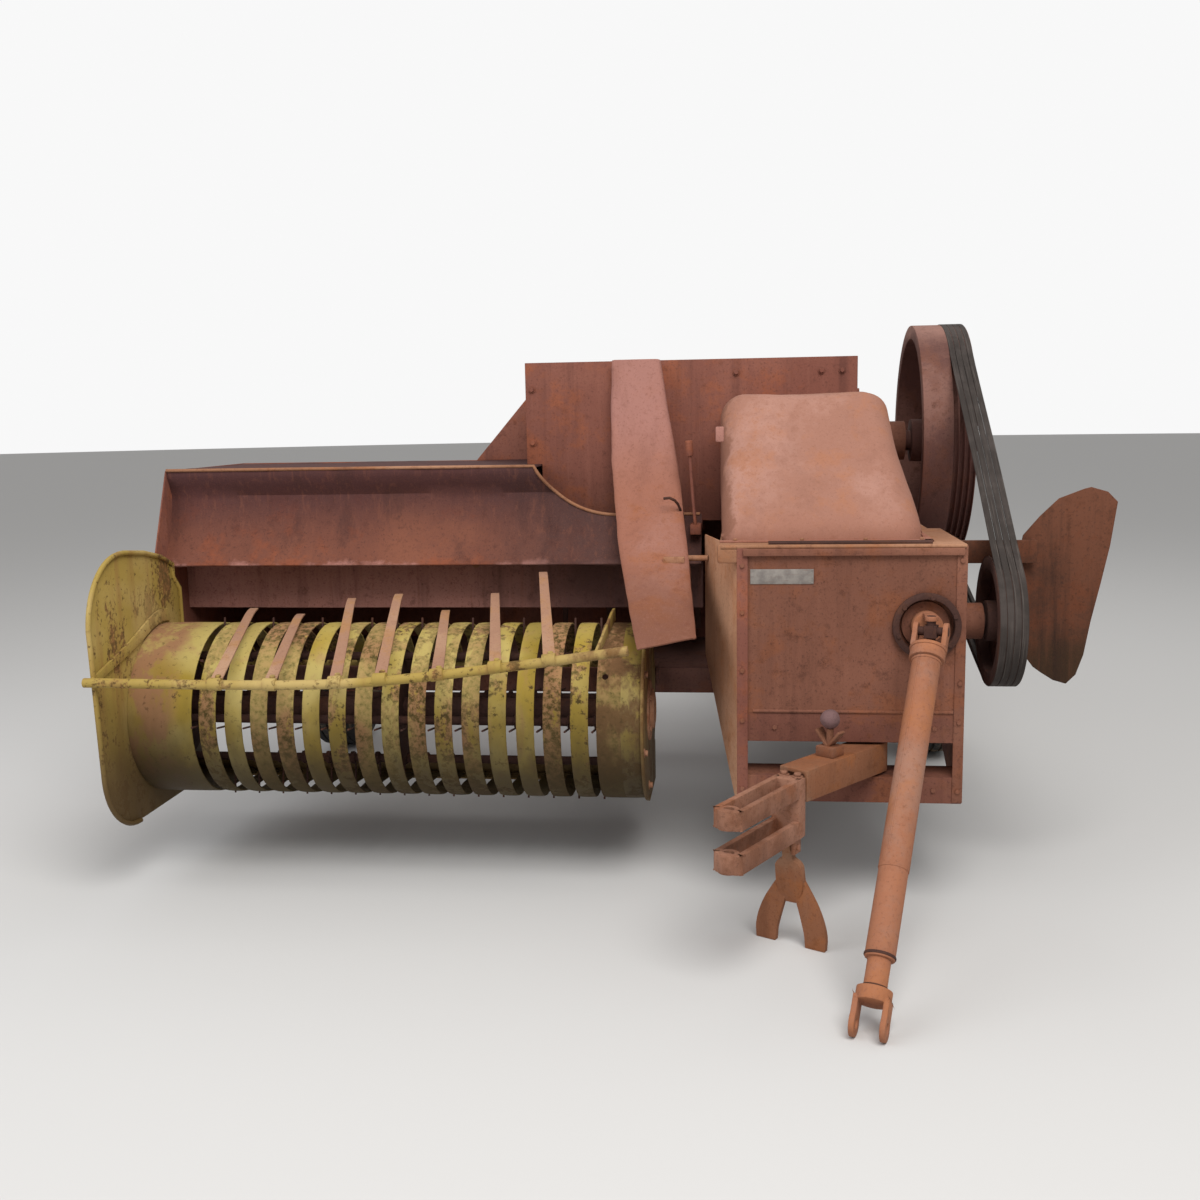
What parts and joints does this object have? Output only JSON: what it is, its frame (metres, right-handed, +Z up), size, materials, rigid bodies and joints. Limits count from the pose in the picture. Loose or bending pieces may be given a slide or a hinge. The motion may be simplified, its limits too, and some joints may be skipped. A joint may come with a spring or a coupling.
{
  "type": "square baler",
  "caption": "Pull-type square baler with side pickup, belt-driven flywheel, bale chamber, swinging drawbar and drive shaft.",
  "frame": {"origin": "on the ground, at the middle of the whole machine's length and width", "axes": "+X across the machine toward the flywheel side, +Y toward the rear along the bale chamber, +Z up"},
  "size_m": [2.714, 4.0276, 1.546],
  "materials": {
    "rust_red": "weathered red-brown rust over old paint",
    "rust_pale": "smooth pale pinkish rust on pressed sheet",
    "rust_dark": "dark rust in shade",
    "rust_tan": "orange-tan rust on bar and tube",
    "yellow_worn": "faded yellow paint with rust coming through",
    "iron_grey": "bare grey iron with rust",
    "rubber_grey": "dusty grey belt rubber",
    "tyre_black": "dusty weathered tyre rubber"
  },
  "bodies": {
    "chassis": {"front_frame": "rust_red", "front_plate": "rust_red", "front_cheek": "rust_pale", "top_deck": "rust_red", "input_ring": "rust_dark", "input_gearbox": "iron_grey", "crank_cover": "rust_pale", "main_gearbox": "iron_grey", "chamber_floor": "rust_dark", "chamber_wall_belt_side": "rust_red", "chamber_wall_pickup_side": "rust_red", "chamber_roof": "rust_red", "chamber_rails": "rust_red", "plunger": "iron_grey", "knotters": "rust_red", "needle_yoke": "rust_red", "tension_rails": "rust_red", "tension_screws": "rust_red", "feeder_floor": "rust_dark", "feeder_back": "rust_red", "feeder_hood": "rust_red", "feeder_end": "rust_red", "feeder_fingers": "rust_dark", "tall_housing": "rust_red", "drive_cover": "rust_pale", "axle_beam": "rust_red", "belts": "rubber_grey", "belt_guard": "rust_red", "twine_box": "rust_red", "drawbar_pin": "rust_dark", "input_yoke": "rust_tan"},
    "flywheel": {"flywheel": "rust_pale"},
    "sheave": {"sheave": "rust_dark"},
    "wheel_belt_side": {"wheel_rim_belt_side": "yellow_worn", "tyre_belt_side": "tyre_black"},
    "wheel_pickup_side": {"wheel_rim_pickup_side": "yellow_worn", "tyre_pickup_side": "tyre_black"},
    "drawbar": {"drawbar": "rust_tan", "hitch_loops": "rust_tan", "latch": "rust_pale"},
    "stand": {"stand": "rust_tan"},
    "pickup": {"pickup_panels": "yellow_worn", "pickup_frame": "yellow_worn", "stripper_bands": "yellow_worn", "wind_guard": "yellow_worn"},
    "tine_reel": {"tine_reel": "rust_dark"},
    "joint_cross": {"joint_cross": "iron_grey"},
    "drive_shaft": {"drive_shaft_tube": "rust_tan", "drive_shaft_end": "rust_tan"},
    "twine_lid": {"twine_lid": "rust_red"},
    "metering_wheel": {"metering_wheel": "iron_grey"}
  },
  "joints": [
    {"name": "flywheel_spin", "type": "hinge", "parent": "chassis", "child": "flywheel", "pos_m": [1.003, -0.27207, 1.183], "axis": [1, 0, 0], "continuous": true},
    {"name": "sheave_spin", "type": "hinge", "parent": "chassis", "child": "sheave", "pos_m": [1.043, -1.21207, 0.746], "axis": [1, 0, 0], "continuous": true},
    {"name": "wheel_spin_belt_side", "type": "hinge", "parent": "chassis", "child": "wheel_belt_side", "pos_m": [1.083, 0.30793, 0.345], "axis": [1, 0, 0], "continuous": true},
    {"name": "wheel_spin_pickup_side", "type": "hinge", "parent": "chassis", "child": "wheel_pickup_side", "pos_m": [-1.177, 0.30793, 0.345], "axis": [1, 0, 0], "continuous": true},
    {"name": "drawbar_swing", "type": "hinge", "parent": "chassis", "child": "drawbar", "pos_m": [0.723, -1.24407, 0.4], "axis": [0, 0, 1], "range_deg": [-20, 20]},
    {"name": "stand_fold", "type": "hinge", "parent": "drawbar", "child": "stand", "pos_m": [0.49965, -1.53654, 0.254], "axis": [-0.8746, 0.4848, 0], "range_deg": [0, 90]},
    {"name": "pickup_lift", "type": "hinge", "parent": "chassis", "child": "pickup", "pos_m": [-0.577, -0.75707, 0.515], "axis": [-1, 0, 0], "range_deg": [0, 12]},
    {"name": "reel_spin", "type": "hinge", "parent": "pickup", "child": "tine_reel", "pos_m": [-0.577, -1.02207, 0.46], "axis": [1, 0, 0], "continuous": true},
    {"name": "shaft_yaw", "type": "hinge", "parent": "chassis", "child": "joint_cross", "pos_m": [0.848, -1.37207, 0.746], "axis": [0, 0, 1], "range_deg": [-5, 30]},
    {"name": "shaft_lift", "type": "hinge", "parent": "joint_cross", "child": "drive_shaft", "pos_m": [0.848, -1.37207, 0.746], "axis": [-0.9511, 0.309, 0], "range_deg": [0, 50]},
    {"name": "twine_lid_open", "type": "hinge", "parent": "chassis", "child": "twine_lid", "pos_m": [-0.002, -0.14977, 1.0893], "axis": [1, 0, 0], "range_deg": [0, 85]},
    {"name": "metering_spin", "type": "hinge", "parent": "chassis", "child": "metering_wheel", "pos_m": [0.673, 1.00793, 0.952], "axis": [1, 0, 0], "continuous": true}
  ],
  "couplings": [
    {"joint": "sheave_spin", "follows": "flywheel_spin", "ratio": 2.2492}
  ]
}
